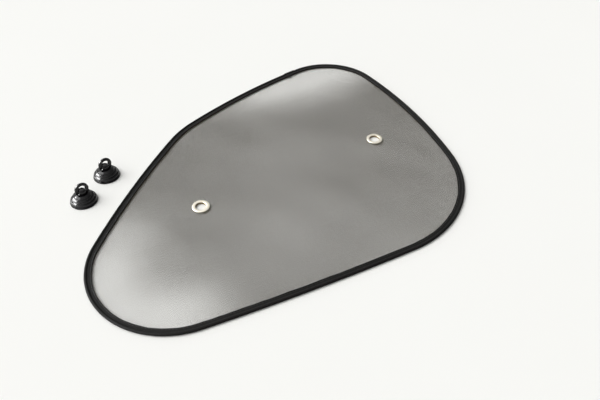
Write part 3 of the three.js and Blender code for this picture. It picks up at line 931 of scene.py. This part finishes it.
def build_clip_mesh():
    """The clip's mesh: a plate with rounded edges, its boss joined on and bored for the neck and knob."""
    outer, hole = clip_paths()
    turns = np.linspace(math.pi / 2, 0, 5)
    levels = [(CLIP_EDGE * (1 - math.cos(t)), CLIP_HALF - CLIP_EDGE * (1 - math.sin(t))) for t in turns]
    levels += [(reach, -y) for reach, y in reversed(levels)]
    points, faces, caps = [], [], {}
    for path, way in ((outer, 1), (hole, -1)):
        base, n = len(points), len(path)
        for reach, y in levels:
            points += [(x, y, z) for x, z in inset_path(path, way * reach)]
        for i in range(len(levels) - 1):
            for j in range(n):
                k = (j + 1) % n
                a, b = base + i * n, base + (i + 1) * n
                faces.append((a + j, a + k, b + k, b + j))
        for level in (0, len(levels) - 1):
            caps.setdefault(level, []).append(list(range(base + level * n, base + (level + 1) * n)))
    for level, rings in caps.items():
        flat = [[Vector((points[i][0], points[i][2], 0)) for i in ring] for ring in rings]
        index = [i for ring in rings for i in ring]
        faces += [tuple(index[i] for i in tri) for tri in tessellate_polygon(flat)]

    def solid(name, body):
        tool = bpy.data.objects.new(name, bpy.data.meshes.new(name))
        tool.data.from_pydata((np.asarray(body[0]) * MM).tolist(), [], body[1])
        bpy.context.scene.collection.objects.link(tool)
        face_outwards(tool)
        return tool

    plate = solid("clip_work", (points, faces))
    boss = [(0, BAR_LOW), (BOSS_R - 0.3, BAR_LOW), (BOSS_R - 0.09, BAR_LOW + 0.09), (BOSS_R, BAR_LOW + 0.3)]
    boss += [(r, BAR_LOW + BAR_TOP - z) for r, z in reversed(boss)]
    bore = [(0, BAR_LOW - 1), (BORE_R, BAR_LOW - 1), (BORE_R, SEAT_TOP), (SEAT_R, SEAT_TOP)]
    bore += [(SEAT_R, BAR_TOP + 1), (0, BAR_TOP + 1)]
    tools = [solid("clip_boss", turned(boss, 64, False)), solid("clip_bore", turned(bore, 64, False))]
    for tool, way in zip(tools, ("UNION", "DIFFERENCE")):
        cut = plate.modifiers.new(way, "BOOLEAN")
        cut.object, cut.operation, cut.solver = tool, way, "EXACT"
    depsgraph = bpy.context.evaluated_depsgraph_get()
    done = bpy.data.meshes.new_from_object(plate.evaluated_get(depsgraph))
    for used in (plate, *tools):
        bpy.data.objects.remove(used)
    return done


def build_cups(rubber, plastic):
    """The two cups with their clips, each leant, turned and put where it lies."""
    profile = cup_profile()
    clip = build_clip_mesh()
    pivot = Matrix.Translation((0, 0, BELL_H * MM))
    for name, (x, y, turn, lean) in CUPS.items():
        points, faces = turned(profile, 96, False)
        cup = new_object(f"{name}_cup_moulded", leant(points, lean), faces, rubber, 40)
        loop_mesh = clip.copy()
        loop_mesh.transform(pivot @ Matrix.Rotation(math.radians(lean), 4, "Y") @ pivot.inverted())
        loop_mesh.materials.clear()
        loop_mesh.materials.append(plastic)
        loop_mesh.shade_smooth()
        loop_mesh.set_sharp_from_angle(angle=math.radians(32))
        loop = bpy.data.objects.new(f"{name}_clip_moulded", loop_mesh)
        bpy.context.scene.collection.objects.link(loop)
        place = Matrix.Translation((x * MM, y * MM, 0)) @ Matrix.Rotation(math.radians(turn), 4, "Z")
        for piece in (cup, loop):
            piece.data.transform(place)
        face_outwards(cup)
        ride(cup, "cup_rubber", f"{name}_suction_cup")
        ride(loop, "clip_plastic", f"{name}_loop_clip")
    bpy.data.meshes.remove(clip)


# Assembly

net = build_net(yarn_look())
tape = tape_look()
binding = ride(build_tape(tape), "tape", "edge_tape")
lap = ride(build_lap(tape), "tape", "tape_lap")
stitches = ride(build_stitches(thread_look()), "tape")
ride(net, "cloth", "mesh_cloth")
eyelets = build_eyelets(eyelet_look())
build_cups(cup_look(), clip_look())

# The wire and its sleeve keep their solids and get a steel look
for node, tint in (("wire_hoop", (0.5, 0.51, 0.53)), ("hoop_sleeve", (0.62, 0.63, 0.65))):
    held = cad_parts[node]
    held.data.materials.clear()
    held.data.materials.append(steel_look(f"{node}_steel", tint))

# Floor, light and camera


# Directions and places in metres
FLOOR_REACH = 8
WINDOW_WAY = Vector((-0.84, 0.34, 0.36)).normalized()
WORLD_DIM, WORLD_BRIGHT = 0.12, 1.18
SKY_WAY, SKY_POWER, SKY_SPREAD = Vector((-0.85, 0.55, 1.2)), 1.42, math.radians(38)
PANE_AIM, PANE_AWAY, PANE_SIZE, PANE_POWER = Vector((-0.18, 0.06, 0.0)), 2.1, (2.2, 1.1), 230
CAMERA_PLACE, CAMERA_TURN, CAMERA_LENS = (-0.2108, -0.5058, 0.4670), (47, 0, -27), 37.8


def build_floor():
    """The pale surface that everything lies on."""
    look = Look("pale_floor")
    tone = look.noise(3, 2)
    look.colour(look.ramp(tone, (0.3, (0.925, 0.925, 0.905)), (0.7, (0.935, 0.935, 0.915))))
    look.set(Roughness=0.9, Specular_IOR_Level=0.1)
    mesh = bpy.data.meshes.new("floor")
    corners = [(FLOOR_REACH * x, FLOOR_REACH * y, 0) for x, y in ((-1, -1), (1, -1), (1, 1), (-1, 1))]
    mesh.from_pydata(corners, [], [(0, 1, 2, 3)])
    mesh.materials.append(look.material)
    floor = bpy.data.objects.new("floor", mesh)
    floor.location.z = -0.0001
    bpy.context.scene.collection.objects.link(floor)


def build_world():
    """A pale surrounding that is brighter towards the window."""
    world = bpy.data.worlds.new("studio")
    bpy.context.scene.world = world
    world.use_nodes = True
    nodes, links = world.node_tree.nodes, world.node_tree.links
    way = nodes.new("ShaderNodeTexCoord")
    facing = nodes.new("ShaderNodeVectorMath")
    facing.operation = "DOT_PRODUCT"
    facing.inputs[1].default_value = WINDOW_WAY
    fall = nodes.new("ShaderNodeMapRange")
    fall.interpolation_type = "SMOOTHSTEP"
    fall.inputs["From Min"].default_value = -0.5
    fall.inputs["From Max"].default_value = 1.0
    fall.inputs["To Min"].default_value = WORLD_DIM
    fall.inputs["To Max"].default_value = WORLD_BRIGHT
    links.new(way.outputs["Generated"], facing.inputs[0])
    links.new(facing.outputs["Value"], fall.inputs["Value"])
    links.new(fall.outputs["Result"], nodes["Background"].inputs["Strength"])
    nodes["Background"].inputs["Color"].default_value = (1, 1, 0.985, 1)


def build_lamps():
    """A soft sun, and a window that only reflections see."""
    sun = bpy.data.lights.new("window_sky", "SUN")
    sun.energy, sun.angle = SKY_POWER, SKY_SPREAD
    sky = bpy.data.objects.new("window_sky", sun)
    sky.rotation_euler = SKY_WAY.to_track_quat("Z", "Y").to_euler()
    bpy.context.scene.collection.objects.link(sky)
    pane = bpy.data.lights.new("window", "AREA")
    pane.shape, pane.energy = "RECTANGLE", PANE_POWER
    pane.size, pane.size_y = PANE_SIZE
    glass = bpy.data.objects.new("window", pane)
    glass.location = PANE_AIM + WINDOW_WAY * PANE_AWAY
    glass.rotation_euler = WINDOW_WAY.to_track_quat("Z", "Y").to_euler()
    glass.visible_diffuse = False
    bpy.context.scene.collection.objects.link(glass)


def build_camera():
    """The photo's view."""
    data = bpy.data.cameras.new("photo_view")
    data.sensor_width, data.lens = 36, CAMERA_LENS
    camera = bpy.data.objects.new("photo_view", data)
    camera.location = CAMERA_PLACE
    camera.rotation_euler = [math.radians(turn) for turn in CAMERA_TURN]
    bpy.context.scene.collection.objects.link(camera)
    bpy.context.scene.camera = camera


build_floor()
build_world()
build_lamps()
build_camera()
bpy.context.scene.view_settings.view_transform = "Standard"
